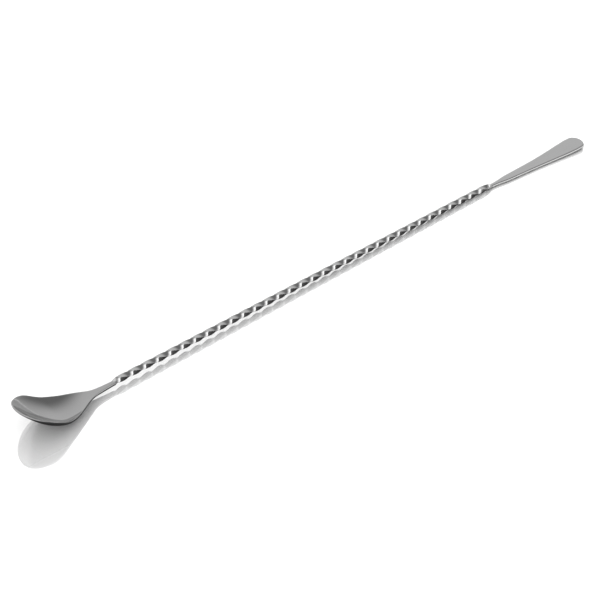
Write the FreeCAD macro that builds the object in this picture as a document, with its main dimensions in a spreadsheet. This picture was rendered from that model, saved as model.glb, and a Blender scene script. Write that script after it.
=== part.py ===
"""Bar spoon: a dished bowl and a flat paddle welded to the two ends of a twisted square stem.

Frame: +X runs along the spoon from the bowl to the paddle, +Z is up, millimetres.
The spoon lies as it rests on a table: z = 0 is the table, under the bowl's lowest point and
the paddle's flat underside.  The origin is the middle of the bounding box, on the table.
"""
import FreeCAD, Part
import math
import os
import Sketcher

from FreeCAD import Placement, Rotation, Vector

DIMENSIONS = {
    # the twisted square stem
    "stem_side": 2.75,            # across the flats of the bar
    "stem_length": 264.8,
    "twist_pitch": 32.0,          # advance for one full turn, right-handed
    "twist_start": 44.1,          # degrees: turn of the bar at the bowl end
    "stem_start_x": -142.08,
    "stem_y": -0.10,              # the stem lies a little to -Y of the middle of the box
    "stem_start_z": 3.85,         # height of the stem's axis at the bowl end
    "stem_fall": 0.405,           # degrees: the stem comes down towards the paddle
    # the bowl and its neck, forged from one strip
    "bowl_weld_length": 1.5,
    "bowl_length": 56.2,          # from the weld to the tip
    "neck_width": 2.9,
    "neck_thickness": 1.6,
    "neck_top_z": 4.1,
    "neck_straight": 6.0,         # length of the neck before it begins to dish
    "neck_dish_run": 12.0,        # length over which the flat neck becomes fully dished
    "bowl_wall": 1.0,
    "bowl_low": 33.6,             # distance from the weld to the lowest point of the bowl
    "bowl_drop_run": 18.0,        # length of the fall from the neck to the lowest point
    "bowl_tip_z": 17.9,           # height of the bowl's tip
    "bowl_tip_power": 1.72,       # how the floor's rise to the tip grows with distance
    "bowl_cross_radius": 18.8,    # radius of the bowl's floor across the spoon
    "bowl_strip": 32.0,           # width of the strip before it is trimmed to the outline
    "bowl_roll": -3.2,            # degrees: the bowl is welded on rolled a little, its -Y rim up
    "bowl_offset": -0.27,         # and a little to the -Y side of the stem's axis
    # the paddle
    "paddle_weld_length": 3.3,    # the bar's twist runs out in this weld
    "paddle_length": 73.8,
    "paddle_thickness": 1.9,
    "paddle_neck_width": 2.6,
    "paddle_flat": 33.7,          # length of the underside that rests flat
    "paddle_lift_radius": 650.0,  # the outer half of the paddle curves up
    "paddle_turn": -1.8,          # degrees: the paddle is welded on turned a little to -Y
    "paddle_offset": 0.15,        # and a little to the +Y side of the stem's axis
    "paddle_bevel": 0.35,         # on the long edges of the blade
}

# Half widths in plan, as (distance from the weld, half width).
BOWL_OUTLINE = [
    (0.0, 1.45), (8.0, 2.0), (12.4, 2.75), (16.7, 4.6), (24.6, 8.8), (31.6, 12.1),
    (38.8, 14.1), (42.8, 14.4), (46.4, 13.6), (50.1, 11.5), (53.1, 8.7), (55.3, 4.9),
]
PADDLE_OUTLINE = [
    (0.0, 1.3), (5.4, 1.6), (11.6, 2.42), (23.0, 3.0), (36.3, 3.7), (48.7, 4.7),
    (60.0, 5.75), (66.5, 6.05), (70.7, 5.55), (73.0, 3.2),
]

STATIONS = 16            # cross-sections along the bowl
TWIST_STEP = 22.5        # degrees between cross-sections of the stem
TRIM_MARGIN = 10.0       # how far the trimming frame reaches beyond the strip
OVERRUN = 2.0            # how far the strip runs past the tip before it is trimmed


def make_sheet(doc):
    """Put the driving dimensions in a spreadsheet, one alias for each."""
    sheet = doc.addObject("Spreadsheet::Sheet", "Dims")
    for row, (alias, value) in enumerate(DIMENSIONS.items(), start=1):
        sheet.set(f"A{row}", alias)
        sheet.set(f"B{row}", str(value))
        sheet.setAlias(f"B{row}", alias)
    doc.recompute()
    return sheet


def origin_plane(body, role):
    """Return the body's own origin plane with this role."""
    return next(item for item in body.Origin.OriginFeatures if item.Role == role)


def new_body(doc, label):
    """Add an empty body with its label."""
    body = doc.addObject("PartDesign::Body", label)
    body.Label = label
    return body


def new_sketch(body, name, role, offset=None):
    """Add a sketch to a body, on one of the body's own origin planes."""
    sketch = body.newObject("Sketcher::SketchObject", name)
    sketch.AttachmentSupport = [(origin_plane(body, role), "")]
    sketch.MapMode = "FlatFace"
    if offset is not None:
        sketch.AttachmentOffset = offset
    return sketch


def polygon_lines(corners):
    """Return the sides of a closed polygon."""
    return [Part.LineSegment(here, corners[(i + 1) % len(corners)]) for i, here in enumerate(corners)]


def add_rectangle(sketch, width, height):
    """Draw a rectangle centred on the sketch's origin, its sizes bound to two expressions."""
    corners = [Vector(-1, -1), Vector(1, -1), Vector(1, 1), Vector(-1, 1)]
    sketch.addGeometry(polygon_lines(corners), False)
    for side in range(4):
        sketch.addConstraint(Sketcher.Constraint("Coincident", side, 2, (side + 1) % 4, 1))
        direction = "Horizontal" if side % 2 == 0 else "Vertical"
        sketch.addConstraint(Sketcher.Constraint(direction, side))
    sketch.addConstraint(Sketcher.Constraint("Symmetric", 0, 1, 2, 1, -1, 1))
    across = sketch.addConstraint(Sketcher.Constraint("DistanceX", 0, 1, 0, 2, 2.0))
    upwards = sketch.addConstraint(Sketcher.Constraint("DistanceY", 1, 1, 1, 2, 2.0))
    sketch.setExpression(f"Constraints[{across}]", width)
    sketch.setExpression(f"Constraints[{upwards}]", height)


def trim_to_outline(body, name, outline, tip, half_strip, direction):
    """Cut away everything outside a symmetric plan outline, leaving its free end rounded.

    The cut is a frame: a large rectangle with the outline as its hole.  direction is +1 when
    the outline runs along +X from the weld, and -1 when it runs along -X.
    """
    upper = [Vector(direction * run, half) for run, half in outline]
    lower = [Vector(point.x, -point.y) for point in reversed(upper)]
    edge = Part.BSplineCurve()
    edge.interpolate(upper + [Vector(direction * tip, 0)] + lower)
    reach = half_strip + TRIM_MARGIN
    near = -direction * TRIM_MARGIN
    far = direction * (tip + TRIM_MARGIN)
    frame = [Vector(near, -reach), Vector(far, -reach), Vector(far, reach), Vector(near, reach)]
    sketch = new_sketch(body, name, "XY_Plane")
    sketch.addGeometry(edge, False)
    sketch.addGeometry(Part.LineSegment(lower[-1], upper[0]), False)
    sketch.addGeometry(polygon_lines(frame), False)
    pocket = body.newObject("PartDesign::Pocket", name + "_cut")
    pocket.Profile = sketch
    pocket.Midplane = True
    pocket.Length = 4 * reach
    return pocket


def ease(position):
    """Rise smoothly from 0 to 1 as position goes from 0 to 1."""
    return (1 - math.cos(math.pi * min(max(position, 0.0), 1.0))) / 2


def bowl_floor(sheet, run):
    """Return the height of the floor's centre line at a distance from the weld."""
    past_low = run - sheet.bowl_low
    if past_low > 0:
        climb = (past_low / (sheet.bowl_length - sheet.bowl_low)) ** sheet.bowl_tip_power
        return sheet.bowl_wall + (sheet.bowl_tip_z - sheet.bowl_wall) * climb
    fall = sheet.neck_top_z - sheet.bowl_wall
    return sheet.bowl_wall + fall * ease(-past_low / sheet.bowl_drop_run)


def bowl_section(body, sheet, number):
    """Draw one cross-section of the strip: two concentric arcs joined by radial ends."""
    run = (sheet.bowl_length + OVERRUN) * number / (STATIONS - 1)
    dish = ease((run - sheet.neck_straight) / sheet.neck_dish_run)
    flattest = 20 * sheet.bowl_cross_radius
    radius = 1 / (dish / sheet.bowl_cross_radius + (1 - dish) / flattest)
    slope = bowl_floor(sheet, run + 0.5) - bowl_floor(sheet, run - 0.5)
    wall = sheet.neck_thickness + dish * (sheet.bowl_wall - sheet.neck_thickness)
    wall *= math.hypot(1, slope)
    floor = bowl_floor(sheet, run)
    centre = floor + radius
    spread = math.asin(sheet.bowl_strip / 2 / radius)

    def arc_points(arc_radius):
        return [
            Vector(arc_radius * math.sin(turn), centre - arc_radius * math.cos(turn))
            for turn in (-spread, 0, spread)
        ]

    inner = arc_points(radius)
    outer = arc_points(radius + wall)
    offset = Placement(Vector(0, 0, -run), Rotation())
    sketch = new_sketch(body, f"bowl_section_{number}", "YZ_Plane", offset)
    sketch.addGeometry(Part.Arc(*inner), False)
    sketch.addGeometry(Part.LineSegment(inner[2], outer[2]), False)
    sketch.addGeometry(Part.Arc(*outer), False)
    sketch.addGeometry(Part.LineSegment(outer[0], inner[0]), False)
    return sketch


def bowl_frame(sheet):
    """Return the place of the bowl's neck end: rolled about the neck, and standing on the table."""
    roll = Rotation(Vector(1, 0, 0), sheet.bowl_roll)
    neck_height = sheet.neck_top_z - sheet.neck_thickness / 2
    roll_radius = sheet.bowl_wall + sheet.bowl_cross_radius - neck_height
    rise = roll_radius * (1 - math.cos(math.radians(sheet.bowl_roll)))
    pivot = Vector(0, 0, neck_height)
    neck_x = sheet.stem_start_x - sheet.bowl_weld_length
    neck_end = Vector(neck_x, sheet.stem_y + sheet.bowl_offset, rise)
    return Placement(neck_end + pivot - roll.multVec(pivot), roll)


def make_bowl(doc, sheet):
    """The bowl and its flat neck: a dished strip trimmed to a teardrop outline."""
    body = new_body(doc, "bowl")
    body.Placement = bowl_frame(sheet)
    sections = [bowl_section(body, sheet, number) for number in range(STATIONS)]
    strip = body.newObject("PartDesign::AdditiveLoft", "dished_strip")
    strip.Profile = sections[0]
    strip.Sections = sections[1:]
    doc.recompute()
    trim_to_outline(body, "bowl_outline", BOWL_OUTLINE, sheet.bowl_length, sheet.bowl_strip, -1)
    return body


def make_stem(doc, sheet):
    """The stem: a square bar twisted to the right at an even pitch."""
    steps = math.ceil(360 * sheet.stem_length / sheet.twist_pitch / TWIST_STEP)
    half = sheet.stem_side / 2
    corners = [Vector(0, -half, -half), Vector(0, half, -half), Vector(0, half, half), Vector(0, -half, half)]
    sections = []
    for step in range(steps + 1):
        along = sheet.stem_length * step / steps
        section = Part.makePolygon(corners + corners[:1])
        turn = sheet.twist_start + 360 * along / sheet.twist_pitch
        section.rotate(Vector(0, 0, 0), Vector(1, 0, 0), turn)
        section.translate(Vector(along, 0, 0))
        sections.append(section)
    stem = doc.addObject("Part::Feature", "twisted_stem")
    stem.Label = "twisted_stem"
    stem.Shape = Part.makeLoft(sections, True, False)
    stem.Placement = stem_frame(sheet)
    return stem


def stem_frame(sheet):
    """Return the place of the stem's bowl end, with +X along its axis."""
    return Placement(
        Vector(sheet.stem_start_x, sheet.stem_y, sheet.stem_start_z),
        Rotation(Vector(0, 1, 0), sheet.stem_fall),
    )


def paddle_frame(sheet):
    """Return the place of the paddle's neck end, on the table, with +X along the paddle."""
    stem_end = stem_frame(sheet).multVec(Vector(sheet.stem_length, 0, 0))
    turn = Rotation(Vector(0, 0, 1), sheet.paddle_turn)
    stem_foot = Vector(stem_end.x, sheet.stem_y + sheet.paddle_offset, 0)
    return Placement(stem_foot + turn.multVec(Vector(sheet.paddle_weld_length, 0, 0)), turn)


def make_paddle(doc, sheet):
    """The paddle: a flat blade, curved up at its free end, trimmed to a spatula outline."""
    body = new_body(doc, "paddle")
    body.Placement = paddle_frame(sheet)
    flat = sheet.paddle_flat
    thick = sheet.paddle_thickness
    radius = sheet.paddle_lift_radius
    spread = math.asin((sheet.paddle_length + OVERRUN - flat) / radius)

    def lifted(arc_radius, turn):
        return Vector(flat + arc_radius * math.sin(turn), radius - arc_radius * math.cos(turn))

    under = [lifted(radius, turn) for turn in (0, spread / 2, spread)]
    upper = [lifted(radius - thick, turn) for turn in (0, spread / 2, spread)]
    side = new_sketch(body, "paddle_side", "XZ_Plane")
    side.addGeometry(Part.LineSegment(Vector(0, 0), under[0]), False)
    side.addGeometry(Part.Arc(*under), False)
    side.addGeometry(Part.LineSegment(under[2], upper[2]), False)
    side.addGeometry(Part.Arc(*upper), False)
    side.addGeometry(Part.LineSegment(upper[0], Vector(0, thick)), False)
    side.addGeometry(Part.LineSegment(Vector(0, thick), Vector(0, 0)), False)
    blank = body.newObject("PartDesign::Pad", "paddle_blank")
    blank.Profile = side
    blank.Midplane = True
    blank.Length = 4 * PADDLE_OUTLINE[-3][1]
    doc.recompute()
    trim = trim_to_outline(
        body, "paddle_outline", PADDLE_OUTLINE, sheet.paddle_length, PADDLE_OUTLINE[-3][1], 1
    )
    doc.recompute()
    bevel_blade(body, trim)
    return body


def bevel_blade(body, trim):
    """Break the blade's upper and lower edges."""
    names = []
    for number, edge in enumerate(trim.Shape.Edges, start=1):
        box = edge.BoundBox
        along_blade = box.XLength > 5
        if along_blade:
            names.append(f"Edge{number}")
    bevel = body.newObject("PartDesign::Chamfer", "blade_bevel")
    bevel.Base = (trim, names)
    bevel.setExpression("Size", "Dims.paddle_bevel")


def make_weld(doc, label, stem_place, stem_turn, end_place, end_width, end_height):
    """A weld: the metal that fills the gap between the stem's square end and an end piece."""
    body = new_body(doc, label)
    to_plane = Rotation(Vector(0, 1, 0), Vector(0, 0, 1), Vector(1, 0, 0), "XYZ")
    frame = Placement(Vector(), to_plane)

    def in_plane(place, turn):
        section = place.multiply(Placement(Vector(), Rotation(Vector(1, 0, 0), turn)))
        return frame.inverse().multiply(section).multiply(frame)

    at_stem = new_sketch(body, label + "_at_stem", "YZ_Plane", in_plane(stem_place, stem_turn))
    add_rectangle(at_stem, "Dims.stem_side", "Dims.stem_side")
    at_end = new_sketch(body, label + "_at_end", "YZ_Plane", in_plane(end_place, 0))
    add_rectangle(at_end, end_width, end_height)
    fill = body.newObject("PartDesign::AdditiveLoft", label + "_fill")
    fill.Profile = at_stem
    fill.Sections = [at_end]
    return body


def nearest_square(turn):
    """Return the turn of the same square, in degrees, that is nearest to upright."""
    return (turn + 45) % 90 - 45


def make_welds(doc, sheet):
    """The two welds, one at each end of the stem."""
    start = stem_frame(sheet)
    finish = start.multiply(Placement(Vector(sheet.stem_length, 0, 0), Rotation()))
    neck = bowl_frame(sheet).multiply(
        Placement(Vector(0, 0, sheet.neck_top_z - sheet.neck_thickness / 2), Rotation())
    )
    blade = paddle_frame(sheet)
    blade.Base = blade.Base + Vector(0, 0, sheet.paddle_thickness / 2)
    start_turn = nearest_square(sheet.twist_start)
    finish_turn = nearest_square(sheet.twist_start + 360 * sheet.stem_length / sheet.twist_pitch)
    return [
        make_weld(doc, "bowl_weld", start, start_turn, neck,
                  "Dims.neck_width", "Dims.neck_thickness"),
        make_weld(doc, "paddle_weld", finish, finish_turn, blade,
                  "Dims.paddle_neck_width", "Dims.paddle_thickness"),
    ]


def check(doc, nodes):
    """Stop if anything in the document failed or a sub-part is not one sound solid."""
    for item in doc.Objects:
        if "Invalid" in item.State or "Error" in item.State:
            raise RuntimeError(f"{item.Name} failed: {item.State}")
    for node in nodes:
        shape = node.Shape
        if shape.isNull() or not shape.isValid() or len(shape.Solids) != 1:
            raise RuntimeError(f"{node.Label} is not one valid solid")
        print(f"{node.Label}: {shape.Volume:.1f} mm3, {shape.BoundBox}")


def main():
    doc = FreeCAD.newDocument("BarSpoon")
    sheet = make_sheet(doc)
    nodes = [make_bowl(doc, sheet), make_stem(doc, sheet), make_paddle(doc, sheet)]
    nodes += make_welds(doc, sheet)
    doc.recompute()
    check(doc, nodes)
    os.makedirs("parts", exist_ok=True)
    for node in nodes:
        node.Shape.exportStep(f"parts/{node.Label}.step")


main()
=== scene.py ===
"""Bar spoon on a white glossy table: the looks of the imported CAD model, in metres.

The frame is the CAD frame: +X along the spoon from the bowl to the paddle, +Z up, z = 0 the table.
"""
import math

import bmesh
import bpy
from mathutils import Matrix, Vector


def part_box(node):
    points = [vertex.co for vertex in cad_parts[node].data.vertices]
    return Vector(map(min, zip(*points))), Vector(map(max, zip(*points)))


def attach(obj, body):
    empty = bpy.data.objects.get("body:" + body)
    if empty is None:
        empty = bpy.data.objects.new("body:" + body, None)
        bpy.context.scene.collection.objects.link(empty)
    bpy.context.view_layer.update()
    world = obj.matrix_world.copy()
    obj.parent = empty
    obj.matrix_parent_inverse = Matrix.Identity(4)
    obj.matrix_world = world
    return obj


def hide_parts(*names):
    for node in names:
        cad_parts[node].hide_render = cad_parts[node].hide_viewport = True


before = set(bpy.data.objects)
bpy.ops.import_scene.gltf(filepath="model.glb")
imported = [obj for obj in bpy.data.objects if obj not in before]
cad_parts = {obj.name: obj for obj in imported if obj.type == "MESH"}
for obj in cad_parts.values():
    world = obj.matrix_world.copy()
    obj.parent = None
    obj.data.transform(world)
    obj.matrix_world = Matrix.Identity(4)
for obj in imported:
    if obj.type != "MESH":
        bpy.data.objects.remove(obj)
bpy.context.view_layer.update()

MM = 0.001

# ---------------------------------------------------------------------------------------------
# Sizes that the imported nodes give
# ---------------------------------------------------------------------------------------------

STEM_LOW, STEM_HIGH = (Vector(corner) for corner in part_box("twisted_stem"))
BOWL_LOW, BOWL_HIGH = (Vector(corner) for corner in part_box("bowl"))
BOWL_WELD_HIGH = Vector(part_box("bowl_weld")[1])

# The stem is a square bar, twisted, and comes down a little from the bowl to the paddle.
STEM_CORNER = (STEM_HIGH.y - STEM_LOW.y) / 2
STEM_Y = (STEM_HIGH.y + STEM_LOW.y) / 2
END_INSET = 0.01 * MM            # the sloping bar's box passes its axis's ends by about this much
STEM_START = Vector((BOWL_WELD_HIGH.x - END_INSET, STEM_Y, STEM_HIGH.z - STEM_CORNER))
STEM_END = Vector((STEM_HIGH.x - END_INSET, STEM_Y, STEM_LOW.z + STEM_CORNER))
STEM_SIDE = STEM_CORNER * math.sqrt(2)
TWIST_PITCH = 32 * MM            # advance for one full turn, right-handed
TWIST_START = math.radians(44.1)  # how far the bar is turned at its bowl end
STEM_EDGE = 0.14 * MM            # radius of the bar's polished edges
STEM_STEPS = 560
WELD_STEPS = 12
PADDLE_WELD_LENGTH = 3.3 * MM

# The bowl: plan outline as (distance from the weld, half width), then its dish.
BOWL_OUTLINE = [
    (0.0, 1.45), (8.0, 2.0), (12.4, 2.75), (16.7, 4.6), (24.6, 8.8), (31.6, 12.1),
    (38.8, 14.1), (42.8, 14.4), (46.4, 13.6), (50.1, 11.5), (53.1, 8.7), (55.3, 4.9),
]
BOWL_LENGTH = BOWL_HIGH.x - BOWL_LOW.x
BOWL_TIP_Z = 18.25 * MM          # height of the tip before its rim is rounded
NECK_TOP_Z = 4.1 * MM
NECK_THICKNESS = 1.6 * MM
NECK_STRAIGHT = 6 * MM           # length of the neck before it begins to dish
NECK_DISH_RUN = 12 * MM
BOWL_WALL = 1.0 * MM
BOWL_LOWEST = 33.6 * MM          # distance from the weld to the lowest point
BOWL_DROP_RUN = 18 * MM
BOWL_TIP_POWER = 1.72
BOWL_CROSS_RADIUS = 18.8 * MM    # of the bowl's inside, from rim to rim
NECK_FLATNESS = 20               # how many times as large that radius is in the neck
SLOPE_STEP = 0.2 * MM            # over which the inside's slope is measured
BOWL_ROLL = math.radians(-3.2)   # the bowl is welded on rolled a little, its -Y rim up
BOWL_OFFSET = -0.27 * MM         # its neck's middle lies this far to the -Y side of the stem's axis
BOWL_HUB = 41 * MM               # centre of the fan of faces at the bowl's round end
BOWL_RIM_ROUNDING = 0.45 * MM    # how far the rounded rim stands out from the two faces

# The paddle, from its own weld.
PADDLE_OUTLINE = [
    (0.0, 1.3), (5.4, 1.6), (11.6, 2.42), (23.0, 3.0), (36.3, 3.7), (48.7, 4.7),
    (60.0, 5.75), (66.5, 6.05), (70.7, 5.55), (73.0, 3.2),
]
PADDLE_TURN = math.radians(-1.8)
PADDLE_OFFSET = 0.15 * MM        # its neck's middle lies this far to the +Y side of the stem's axis
PADDLE_LENGTH = 73.8 * MM
PADDLE_THICKNESS = 1.9 * MM
PADDLE_FLAT = 33.7 * MM          # length before it begins to curve up
PADDLE_LIFT_RADIUS = 650 * MM
PADDLE_HUB = 65 * MM             # centre of the fan of faces at its round end
PADDLE_ROUNDING = 0.8 * MM       # its long edges are almost half round
NECK_OVERLAP = 0.3 * MM          # how far the bowl's and the paddle's necks run into their welds
OUTLINE_STEPS = 8                # points to each stretch of an outline
RIM_STEPS = 8                    # faces round a rounded rim

# ---------------------------------------------------------------------------------------------
# The studio
# ---------------------------------------------------------------------------------------------

TABLE_Z = -0.02 * MM             # just under the spoon, so that no two faces coincide
TABLE_HALF_WIDTH = 12.0
TABLE_WHITE = 0.9
TABLE_ROUGHNESS = 0.05

# The table's gloss falls with the distance from the spoon.  Distance along the spoon counts past
# GLOSS_END_X, and the gloss reaches further round the bowl than along the rest.
MIRROR_NEAR = 0.74               # the mirror's share beside the spoon
MIRROR_FAR = 0.60                # and away from it
GLOSS_END_X = 190 * MM
GLOSS_REACH = (60 * MM, 14 * MM)     # round the bowl, and along the stem and the paddle
GLOSS_REACH_X = (-180 * MM, -140 * MM)   # X between which the one becomes the other
GLOSS_FADE = (0.2, 1.0)          # shares of the reach between which the gloss falls

# Painted shade: glossy rays see the table round the spoon darkened by a black emission that stands in
# for shade. The numbers say how dark it is, and how much the gaps in it open.
PAINTED_SHADE_DARKNESS = (0.9, 0.66)      # under the spoon and on the camera's side of it, and behind it
PAINTED_SHADE_BEHIND_Y = (4 * MM, 25 * MM)
PADDLE_GAP = 0.6
PADDLE_GAP_X = (118 * MM, 126 * MM)
TIP_GAP = 0.8
TIP_GAP_X = (-214 * MM, -202 * MM)

FIRST_REFLECTION = 1.5           # a ray's Glossy Depth is less than this up to its first reflection
FILL_LEVEL = 7.5
FILL_ANGLE = math.radians(170)
STUDIO_DIM = 0.22
SCREENS = [                      # (azimuth, elevation, half width in degrees, level)
    (62, 18, 75, 0.52),
    (-80, 5, 40, 0.25),
]
BACK_SCREENS = [                 # these and the softbox are left out of second reflections
    (165, 20, 50, 0.8),
    (-135, 35, 40, 0.5),
]
SOFTBOX_LEVEL = 1.35             # a softbox low down on the camera's right
SOFTBOX_LEFT = (-98, -70)        # azimuths between which it brightens
SOFTBOX_RIGHT = (-30, -20)       # and between which it ends
SOFTBOX_TOP = (6, 40)            # elevations between which it ends

CAMERA_AIM = Vector((-26.38, -7.31, 0)) * MM
CAMERA_DIRECTION = (-131.04, 37.95)  # azimuth and elevation from the aim, in degrees
CAMERA_DISTANCE = 0.9556
CAMERA_LENS = 108.0
CAMERA_SENSOR = 36.0

STEELS = {                       # grey, roughness, scale of the polishing lines, their depth
    "polished_steel": (0.62, 0.07, 700.0, 0.01 * MM),
    "dished_steel": (0.5, 0.12, 900.0, 0.01 * MM),
    "satin_steel": (0.58, 0.18, 900.0, 0.02 * MM),
}
LINE_STRETCH = 0.02              # the polishing lines' scale along the spoon, as a share of it across
LINE_DETAIL = 4.0
LINE_STRENGTH = 0.25
CLOUD_SCALE = 90.0               # uneven tone
CLOUD_DETAIL = 3.0
TONE_RANGE = (0.97, 1.03)
GLOSS_RANGE = (0.85, 1.15)
ANISOTROPY = 0.2


# ---------------------------------------------------------------------------------------------
# Mesh helpers
# ---------------------------------------------------------------------------------------------

def new_piece(name, verts, faces, slot, node):
    """Make a smooth-shaded mesh object that stands for one CAD node."""
    mesh = bpy.data.meshes.new(name)
    mesh.from_pydata([tuple(point) for point in verts], [], faces)
    work = bmesh.new()
    work.from_mesh(mesh)
    bmesh.ops.recalc_face_normals(work, faces=work.faces)
    work.to_mesh(mesh)
    work.free()
    mesh.shade_smooth()
    piece = bpy.data.objects.new(name, mesh)
    bpy.context.scene.collection.objects.link(piece)
    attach(piece, "root")
    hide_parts(node)
    return piece


def tube(rings):
    """Return the vertices and faces of a closed skin through equal rings, capped at both ends."""
    size = len(rings[0])
    verts = [point for ring in rings for point in ring]
    faces = [tuple(range(size)), tuple(range(len(verts) - size, len(verts)))]
    for row in range(len(rings) - 1):
        base = row * size
        for i in range(size):
            j = (i + 1) % size
            faces.append((base + i, base + j, base + size + j, base + size + i))
    return verts, faces


def spline_through(points, steps):
    """Return points along a smooth curve through 2D points, steps to each stretch."""
    vectors = [Vector(point) for point in points]
    ends = [vectors[0] * 2 - vectors[1]] + vectors + [vectors[-1] * 2 - vectors[-2]]
    knots = [0.0]
    for here, following in zip(ends, ends[1:]):
        knots.append(knots[-1] + math.sqrt((following - here).length))
    curve = []
    for i in range(1, len(ends) - 2):
        p, k = ends[i - 1:i + 3], knots[i - 1:i + 3]
        for step in range(steps):
            at = k[1] + (k[2] - k[1]) * step / steps
            a = [
                (p[j] * (k[j + 1] - at) + p[j + 1] * (at - k[j])) / (k[j + 1] - k[j]) for j in range(3)
            ]
            b = [
                (a[j] * (k[j + 2] - at) + a[j + 1] * (at - k[j])) / (k[j + 2] - k[j]) for j in range(2)
            ]
            curve.append((b[0] * (k[2] - at) + b[1] * (at - k[1])) / (k[2] - k[1]))
    return curve + [vectors[-1]]


def outward(curve, number):
    """Unit vector square to a curve at one of its points, to the left of its direction."""
    along = curve[min(number + 1, len(curve) - 1)] - curve[max(number - 1, 0)]
    return Vector((-along.y, along.x)).normalized()


def plate_plan(outline, length, rounding, hub, across):
    """Divide a symmetric plan outline, drawn in by its rim's rounding, into rows of points.

    Rows cross the plate from inside the weld to the hub, and then turn about the hub like a fan
    to follow the rounded end.  Returns the points, the faces and the edge from side to side.
    """
    half = [(-NECK_OVERLAP, outline[0][1] * MM)]
    half += [(run * MM, width * MM) for run, width in outline]
    mirrored = [(run, -width) for run, width in reversed(half)]
    curve = spline_through(half + [(length, 0.0)] + mirrored, OUTLINE_STEPS)
    edge = [point - outward(curve, number) * rounding for number, point in enumerate(curve)]
    side = [point for point in edge[:len(edge) // 2 + 1] if point.x < hub]
    end = [point for point in edge if point.x >= hub]
    points, faces = [], []
    rows = []
    for point in side:
        rows.append([len(points) + j for j in range(2 * across + 1)])
        points += [Vector((point.x, point.y * (j / across - 1))) for j in range(2 * across + 1)]
    pole = len(points)
    points.append(Vector((hub, 0)))
    rays = []
    for point in end:
        rays.append([pole] + [len(points) + j for j in range(across)])
        reach = point - points[pole]
        points += [points[pole] + reach * ((j + 1) / across) for j in range(across)]
    rows.append(rays[-1][::-1] + rays[0][1:])
    for low, high in zip(rows, rows[1:]):
        faces += [(low[j], low[j + 1], high[j + 1], high[j]) for j in range(2 * across)]
    for low, high in zip(rays, rays[1:]):
        faces.append((pole, low[1], high[1]))
        faces += [(low[j], low[j + 1], high[j + 1], high[j]) for j in range(1, across)]
    loop = [row[-1] for row in rows[:-1]] + [ray[-1] for ray in rays]
    loop += [row[0] for row in reversed(rows[:-1])]
    return points, faces, loop


def plate(plan, rounding, upper, under, place):
    """Raise a plan into a solid plate with a rounded rim and a flat end in the weld.

    upper and under give the heights of its two faces.
    """
    points, faces, loop = plan
    count = len(points)
    verts = [(p.x, p.y, upper(p.x, p.y)) for p in points]
    verts += [(p.x, p.y, under(p.x, p.y)) for p in points]
    skin = list(faces) + [tuple(i + count for i in reversed(face)) for face in faces]
    rim = [points[index] for index in loop]
    columns = []
    for number, index in enumerate(loop):
        column = [index]
        for step in range(1, RIM_STEPS):
            turn = math.pi * step / RIM_STEPS
            x, y = rim[number] + outward(rim, number) * (rounding * math.sin(turn))
            down = (1 - math.cos(turn)) / 2
            column.append(len(verts))
            verts.append((x, y, upper(x, y) * (1 - down) + under(x, y) * down))
        columns.append(column + [index + count])
    for left, right in zip(columns, columns[1:]):
        skin += [(left[k], right[k], right[k + 1], left[k + 1]) for k in range(RIM_STEPS)]
    top = list(range(loop[-1], loop[0] + 1))
    bottom = [index + count for index in reversed(top)]
    skin.append(tuple(top + columns[0][1:-1] + bottom + columns[-1][-2:0:-1]))
    return [place @ Vector(vert) for vert in verts], skin


# ---------------------------------------------------------------------------------------------
# The spoon
# ---------------------------------------------------------------------------------------------

def ease(position):
    """Rise smoothly from 0 to 1 as position goes from 0 to 1."""
    return (1 - math.cos(math.pi * min(max(position, 0.0), 1.0))) / 2


def bowl_floor(run):
    """Height of the bowl's centre line at a distance from the weld."""
    past = run - BOWL_LOWEST
    if past > 0:
        climb = (past / (BOWL_LENGTH - BOWL_LOWEST)) ** BOWL_TIP_POWER
        return BOWL_WALL + (BOWL_TIP_Z - BOWL_WALL) * climb
    return BOWL_WALL + (NECK_TOP_Z - BOWL_WALL) * ease(-past / BOWL_DROP_RUN)


def bowl_upper(run, across):
    """Height of the bowl's inside."""
    dish = ease((run - NECK_STRAIGHT) / NECK_DISH_RUN)
    radius = 1 / (dish / BOWL_CROSS_RADIUS + (1 - dish) / (NECK_FLATNESS * BOWL_CROSS_RADIUS))
    return bowl_floor(run) + radius - math.sqrt(radius**2 - across**2)


def bowl_under(run, across):
    """Height of the bowl's outside, one wall below the inside, square to it."""
    dish = ease((run - NECK_STRAIGHT) / NECK_DISH_RUN)
    wall = NECK_THICKNESS + dish * (BOWL_WALL - NECK_THICKNESS)
    step = SLOPE_STEP
    along = (bowl_upper(run + step, across) - bowl_upper(run - step, across)) / (2 * step)
    sideways = (bowl_upper(run, across + step) - bowl_upper(run, across - step)) / (2 * step)
    return bowl_upper(run, across) - wall * math.sqrt(1 + along**2 + sideways**2)


def bowl_place():
    """The bowl's neck end on the table, rolled about the middle of the neck."""
    neck_height = NECK_TOP_Z - NECK_THICKNESS / 2
    rise = (BOWL_WALL + BOWL_CROSS_RADIUS - neck_height) * (1 - math.cos(BOWL_ROLL))
    pivot = Matrix.Translation((0, 0, neck_height))
    neck_end = Matrix.Translation((BOWL_HIGH.x, STEM_Y + BOWL_OFFSET, rise))
    return neck_end @ pivot @ Matrix.Rotation(BOWL_ROLL, 4, "X") @ pivot.inverted()


def make_bowl():
    """The teardrop bowl and its flat neck, thin-walled, with a rounded rim."""
    plan = plate_plan(BOWL_OUTLINE, BOWL_LENGTH, BOWL_RIM_ROUNDING, BOWL_HUB, across=16)
    place = bowl_place() @ Matrix.Diagonal((-1, 1, 1, 1))
    verts, faces = plate(plan, BOWL_RIM_ROUNDING, bowl_upper, bowl_under, place)
    return new_piece("bowl_shell", verts, faces, "bowl_steel", "bowl")


def paddle_under(run, across):
    """Height of the paddle's underside: flat, then an arc that curves up."""
    past = max(run - PADDLE_FLAT, 0.0)
    return PADDLE_LIFT_RADIUS - math.sqrt(PADDLE_LIFT_RADIUS**2 - past**2)


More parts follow.
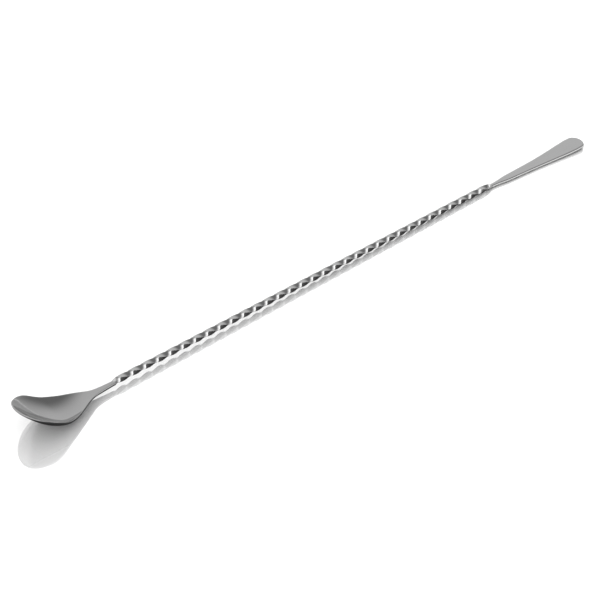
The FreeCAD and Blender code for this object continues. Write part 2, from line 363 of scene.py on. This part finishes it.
def paddle_upper(run, across):
    """Height of the paddle's upper face, on an arc about the same centre."""
    past = max(run - PADDLE_FLAT, 0.0)
    inner = PADDLE_LIFT_RADIUS - PADDLE_THICKNESS
    return PADDLE_LIFT_RADIUS - math.sqrt(inner**2 - past**2)


def paddle_place():
    """The paddle's neck end, with +X along the paddle."""
    turn = Matrix.Rotation(PADDLE_TURN, 4, "Z")
    foot = Matrix.Translation((STEM_END.x, STEM_Y + PADDLE_OFFSET, 0))
    return foot @ turn @ Matrix.Translation((PADDLE_WELD_LENGTH, 0, 0))


def make_paddle():
    """The flat paddle, spatula-shaped, with its tip curved up."""
    plan = plate_plan(PADDLE_OUTLINE, PADDLE_LENGTH, PADDLE_ROUNDING, PADDLE_HUB, across=8)
    verts, faces = plate(plan, PADDLE_ROUNDING, paddle_upper, paddle_under, paddle_place())
    return new_piece("paddle_blade", verts, faces, "paddle_steel", "paddle")


def rounded_box(width, height, radius, corner_steps=4, side_steps=4):
    """Return a ring of 2D points round a rectangle with rounded corners."""
    ring = []
    corners = [(1, 1), (-1, 1), (-1, -1), (1, -1)]
    for number, (sx, sy) in enumerate(corners):
        centre = Vector((sx * (width / 2 - radius), sy * (height / 2 - radius)))
        for step in range(corner_steps + 1):
            turn = math.pi / 2 * (number + step / corner_steps)
            ring.append(centre + radius * Vector((math.cos(turn), math.sin(turn))))
        nx, ny = corners[(number + 1) % 4]
        goal = Vector((nx * (width / 2 - radius), ny * (height / 2 - radius)))
        out = Vector((math.cos(math.pi / 2 * (number + 1)), math.sin(math.pi / 2 * (number + 1))))
        start, finish = centre + radius * out, goal + radius * out
        ring += [start.lerp(finish, step / side_steps) for step in range(1, side_steps)]
    return ring


def placed_ring(ring, place, turn):
    """Set a ring of 2D points in the plane across place's X axis, turned about it."""
    spin = place @ Matrix.Rotation(turn, 4, "X")
    return [spin @ Vector((0, point.x, point.y)) for point in ring]


STEM_SLOPE = (STEM_END - STEM_START).to_track_quat("X", "Z").to_matrix().to_4x4()
STEM_PLACE = Matrix.Translation(STEM_START) @ STEM_SLOPE
STEM_LENGTH = (STEM_END - STEM_START).length
STEM_RING = rounded_box(STEM_SIDE, STEM_SIDE, STEM_EDGE)


def stem_turn(along):
    """How far the bar has turned at a distance along it."""
    return TWIST_START + 2 * math.pi * along / TWIST_PITCH


def make_stem():
    """The square bar, twisted evenly to the right, with polished edges."""
    rings = []
    for step in range(STEM_STEPS + 1):
        along = STEM_LENGTH * step / STEM_STEPS
        place = STEM_PLACE @ Matrix.Translation((along, 0, 0))
        rings.append(placed_ring(STEM_RING, place, stem_turn(along)))
    return new_piece("stem_bar", *tube(rings), "stem_steel", "twisted_stem")


def make_weld(name, node, stem_place, turn, end_place, end_ring):
    """A weld: the twist runs out as the stem's square changes to an end piece's section."""
    quarter = math.pi / 2
    turn = (turn + quarter / 2) % quarter - quarter / 2
    rings = []
    for step in range(WELD_STEPS + 1):
        along = step / WELD_STEPS
        ring = [a.lerp(b, ease(along)) for a, b in zip(STEM_RING, end_ring)]
        left = turn * (1 - along)
        at_stem = placed_ring(ring, stem_place, left)
        at_end = placed_ring(ring, end_place, left)
        rings.append([a.lerp(b, along) for a, b in zip(at_stem, at_end)])
    return new_piece(name, *tube(rings), "weld_steel", node)


def make_welds():
    """The welds at the two ends of the stem."""
    neck_width = 2 * BOWL_OUTLINE[0][1] * MM
    neck_ring = rounded_box(neck_width, NECK_THICKNESS, BOWL_RIM_ROUNDING)
    neck = bowl_place() @ Matrix.Translation((0, 0, NECK_TOP_Z - NECK_THICKNESS / 2))
    blade_width = 2 * PADDLE_OUTLINE[0][1] * MM
    blade_ring = rounded_box(blade_width, PADDLE_THICKNESS, PADDLE_ROUNDING)
    blade = paddle_place() @ Matrix.Translation((0, 0, PADDLE_THICKNESS / 2))
    finish = STEM_PLACE @ Matrix.Translation((STEM_LENGTH, 0, 0))
    return [
        make_weld("bowl_weld_bead", "bowl_weld", STEM_PLACE, stem_turn(0), neck, neck_ring),
        make_weld("paddle_weld_bead", "paddle_weld", finish, stem_turn(STEM_LENGTH), blade, blade_ring),
    ]


# ---------------------------------------------------------------------------------------------
# Materials
# ---------------------------------------------------------------------------------------------

def steel(name):
    """Stainless steel with faint polishing lines along the spoon, uneven gloss and uneven tone."""
    grey, roughness, line_scale, line_depth = STEELS[name]
    material = bpy.data.materials.new(name)
    material.use_nodes = True
    nodes, links = material.node_tree.nodes, material.node_tree.links
    shader = nodes["Principled BSDF"]
    shader.inputs["Metallic"].default_value = 1.0
    shader.inputs["Anisotropic"].default_value = ANISOTROPY
    place = nodes.new("ShaderNodeTexCoord")

    stretch = nodes.new("ShaderNodeMapping")
    stretch.inputs["Scale"].default_value = (LINE_STRETCH, 1.0, 1.0)
    links.new(place.outputs["Object"], stretch.inputs["Vector"])
    lines = nodes.new("ShaderNodeTexNoise")
    lines.inputs["Scale"].default_value = line_scale
    lines.inputs["Detail"].default_value = LINE_DETAIL
    links.new(stretch.outputs["Vector"], lines.inputs["Vector"])

    cloud = nodes.new("ShaderNodeTexNoise")
    cloud.inputs["Scale"].default_value = CLOUD_SCALE
    cloud.inputs["Detail"].default_value = CLOUD_DETAIL
    links.new(place.outputs["Object"], cloud.inputs["Vector"])

    tone = nodes.new("ShaderNodeMapRange")
    tone.inputs["To Min"].default_value, tone.inputs["To Max"].default_value = TONE_RANGE
    links.new(cloud.outputs["Fac"], tone.inputs["Value"])
    tint = nodes.new("ShaderNodeVectorMath")
    tint.operation = "SCALE"
    tint.inputs[0].default_value = (grey, grey, grey)
    links.new(tone.outputs["Result"], tint.inputs["Scale"])
    links.new(tint.outputs["Vector"], shader.inputs["Base Color"])

    gloss = nodes.new("ShaderNodeMapRange")
    gloss.inputs["To Min"].default_value = roughness * GLOSS_RANGE[0]
    gloss.inputs["To Max"].default_value = roughness * GLOSS_RANGE[1]
    links.new(lines.outputs["Fac"], gloss.inputs["Value"])
    links.new(gloss.outputs["Result"], shader.inputs["Roughness"])

    bump = nodes.new("ShaderNodeBump")
    bump.inputs["Strength"].default_value = LINE_STRENGTH
    bump.inputs["Distance"].default_value = line_depth
    links.new(lines.outputs["Fac"], bump.inputs["Height"])
    links.new(bump.outputs["Normal"], shader.inputs["Normal"])
    return material


def paint(piece, material):
    """Give a piece its one material."""
    piece.data.materials.clear()
    piece.data.materials.append(material)


# ---------------------------------------------------------------------------------------------
# The table, the light and the camera
# ---------------------------------------------------------------------------------------------

def math_node(nodes, links, operation, *values):
    """Add a Math node fed by sockets or plain numbers, and return its result."""
    node = nodes.new("ShaderNodeMath")
    node.operation = operation
    for number, value in enumerate(values):
        if isinstance(value, (int, float)):
            node.inputs[number].default_value = value
        else:
            links.new(value, node.inputs[number])
    return node.outputs["Value"]


def map_range(nodes, links, value, from_range, to_range):
    """Add a smooth Map Range node fed by a socket, and return its result."""
    node = nodes.new("ShaderNodeMapRange")
    node.interpolation_type = "SMOOTHSTEP"
    node.inputs["From Min"].default_value, node.inputs["From Max"].default_value = from_range
    node.inputs["To Min"].default_value, node.inputs["To Max"].default_value = to_range
    links.new(value, node.inputs["Value"])
    return node.outputs["Result"]


def first_reflection(nodes, links, path):
    """Return 1 for rays that are reflected once at most, and 0 for the others."""
    return math_node(nodes, links, "LESS_THAN", path.outputs["Glossy Depth"], FIRST_REFLECTION)


def table_gloss(nodes, links, split):
    """The mirror's share in the table top, from its place on the table."""
    x, y = split.outputs["X"], split.outputs["Y"]
    aside = math_node(nodes, links, "ABSOLUTE", y)
    along = math_node(nodes, links, "ABSOLUTE", x)
    beyond = math_node(nodes, links, "SUBTRACT", along, GLOSS_END_X)
    away = math_node(nodes, links, "MAXIMUM", aside, beyond)
    reach = map_range(nodes, links, x, GLOSS_REACH_X, GLOSS_REACH)
    share = math_node(nodes, links, "DIVIDE", away, reach)
    return map_range(nodes, links, share, GLOSS_FADE, (MIRROR_NEAR, MIRROR_FAR))


def painted_reflected_shade(nodes, links, split):
    """How much painted shade a glossy ray sees on the table.  Only first reflections see its gaps."""
    path = nodes.new("ShaderNodeLightPath")
    painted_shade_level = map_range(nodes, links, split.outputs["Y"], PAINTED_SHADE_BEHIND_Y, PAINTED_SHADE_DARKNESS)
    by_paddle = map_range(nodes, links, split.outputs["X"], PADDLE_GAP_X, (0.0, PADDLE_GAP))
    past_tip = map_range(nodes, links, split.outputs["X"], TIP_GAP_X, (TIP_GAP, 0.0))
    widest = math_node(nodes, links, "MAXIMUM", by_paddle, past_tip)
    gap = math_node(nodes, links, "MULTIPLY", widest, first_reflection(nodes, links, path))
    closed = math_node(nodes, links, "SUBTRACT", 1.0, gap)
    shade = math_node(nodes, links, "MULTIPLY", painted_shade_level, closed)
    return math_node(nodes, links, "MULTIPLY", shade, path.outputs["Is Glossy Ray"])


def make_table():
    """A white glossy table top, which reflects what stands on it. Glossy rays see painted shade on it
    round the spoon.
    """
    mesh = bpy.data.meshes.new("table_top")
    half = TABLE_HALF_WIDTH
    corners = [(-half, -half), (half, -half), (half, half), (-half, half)]
    mesh.from_pydata([(x, y, TABLE_Z) for x, y in corners], [], [(0, 1, 2, 3)])
    table = bpy.data.objects.new("table_top", mesh)
    bpy.context.scene.collection.objects.link(table)
    material = bpy.data.materials.new("white_gloss_table")
    material.use_nodes = True
    nodes, links = material.node_tree.nodes, material.node_tree.links
    nodes.remove(nodes["Principled BSDF"])
    matt = nodes.new("ShaderNodeBsdfDiffuse")
    matt.inputs["Color"].default_value = (TABLE_WHITE, TABLE_WHITE, TABLE_WHITE, 1)
    mirror = nodes.new("ShaderNodeBsdfGlossy")
    mirror.inputs["Color"].default_value = (1, 1, 1, 1)
    mirror.inputs["Roughness"].default_value = TABLE_ROUGHNESS
    # A black emission: the painted shade that glossy rays see round the spoon
    painted_shade_emission = nodes.new("ShaderNodeEmission")
    painted_shade_emission.inputs["Color"].default_value = (0, 0, 0, 1)

    place = nodes.new("ShaderNodeTexCoord")
    split = nodes.new("ShaderNodeSeparateXYZ")
    links.new(place.outputs["Object"], split.inputs["Vector"])
    top = nodes.new("ShaderNodeMixShader")
    links.new(table_gloss(nodes, links, split), top.inputs["Fac"])
    links.new(matt.outputs["BSDF"], top.inputs[1])
    links.new(mirror.outputs["BSDF"], top.inputs[2])
    # Mix the painted shade into the table for glossy rays
    whole = nodes.new("ShaderNodeMixShader")
    links.new(painted_reflected_shade(nodes, links, split), whole.inputs["Fac"])
    links.new(top.outputs["Shader"], whole.inputs[1])
    links.new(painted_shade_emission.outputs["Emission"], whole.inputs[2])
    links.new(whole.outputs["Shader"], nodes["Material Output"].inputs["Surface"])
    mesh.materials.append(material)


def aim_vector(azimuth, elevation):
    """Unit vector at an azimuth (degrees from +X towards +Y) and an elevation."""
    az, el = math.radians(azimuth), math.radians(elevation)
    return Vector((math.cos(el) * math.cos(az), math.cos(el) * math.sin(az), math.sin(el)))


def screen_light(nodes, links, direction, screens):
    """Add up soft round screens by how far each is from the direction looked in."""
    total = 0.0
    for azimuth, elevation, reach, level in screens:
        dot = nodes.new("ShaderNodeVectorMath")
        dot.operation = "DOT_PRODUCT"
        dot.inputs[1].default_value = aim_vector(azimuth, elevation)
        links.new(direction, dot.inputs[0])
        edge = math.cos(math.radians(reach))
        fall = map_range(nodes, links, dot.outputs["Value"], (edge, 1.0), (0.0, level))
        total = math_node(nodes, links, "ADD", fall, total)
    return total


def softbox_light(nodes, links, direction):
    """A low softbox with straight soft borders in azimuth and elevation."""
    split = nodes.new("ShaderNodeSeparateXYZ")
    links.new(direction, split.inputs["Vector"])
    azimuth = math_node(nodes, links, "ARCTAN2", split.outputs["Y"], split.outputs["X"])
    elevation = math_node(nodes, links, "ARCSINE", split.outputs["Z"])
    light = SOFTBOX_LEVEL
    borders = [
        (azimuth, SOFTBOX_LEFT, (0.0, 1.0)),
        (azimuth, SOFTBOX_RIGHT, (1.0, 0.0)),
        (elevation, SOFTBOX_TOP, (1.0, 0.0)),
    ]
    for turn, border, fade in borders:
        limits = tuple(math.radians(angle) for angle in border)
        part = map_range(nodes, links, turn, limits, fade)
        light = math_node(nodes, links, "MULTIPLY", part, light)
    return light


def make_world():
    """A dim studio with soft screens round it and one low softbox."""
    world = bpy.data.worlds.new("studio")
    bpy.context.scene.world = world
    world.use_nodes = True
    nodes, links = world.node_tree.nodes, world.node_tree.links
    place = nodes.new("ShaderNodeTexCoord")
    direction = place.outputs["Generated"]
    path = nodes.new("ShaderNodeLightPath")
    softbox = softbox_light(nodes, links, direction)
    back = screen_light(nodes, links, direction, BACK_SCREENS)
    once = math_node(nodes, links, "ADD", softbox, back)
    once = math_node(nodes, links, "MULTIPLY", once, first_reflection(nodes, links, path))
    screens = screen_light(nodes, links, direction, SCREENS)
    total = math_node(nodes, links, "ADD", screens, STUDIO_DIM)
    total = math_node(nodes, links, "ADD", total, once)
    links.new(total, nodes["Background"].inputs["Strength"])
    nodes["Background"].inputs["Color"].default_value = (1, 1, 1, 1)


def make_fill():
    """One very soft overhead light for the table, kept out of the metal's reflections."""
    data = bpy.data.lights.new("overhead_fill", "SUN")
    data.energy = FILL_LEVEL
    data.angle = FILL_ANGLE
    lamp = bpy.data.objects.new("overhead_fill", data)
    bpy.context.scene.collection.objects.link(lamp)
    lamp.location = (0, 0, 1)
    lamp.visible_glossy = False


def make_camera():
    """A long lens that looks down on the spoon from beyond its bowl, on its -Y side."""
    data = bpy.data.cameras.new("camera")
    data.sensor_width = CAMERA_SENSOR
    data.lens = CAMERA_LENS
    data.clip_start = 0.01
    camera = bpy.data.objects.new("camera", data)
    bpy.context.scene.collection.objects.link(camera)
    toward = aim_vector(*CAMERA_DIRECTION)
    camera.location = CAMERA_AIM + toward * CAMERA_DISTANCE
    camera.rotation_euler = toward.to_track_quat("Z", "Y").to_euler()
    bpy.context.scene.camera = camera


def main():
    """Build the scene."""
    make_camera()
    make_table()
    make_world()
    make_fill()
    bright = steel("polished_steel")
    dished = steel("dished_steel")
    satin = steel("satin_steel")
    paint(make_bowl(), dished)
    paint(make_stem(), bright)
    paint(make_paddle(), satin)
    for weld in make_welds():
        paint(weld, bright)
    bpy.context.scene.view_settings.view_transform = "Standard"


main()
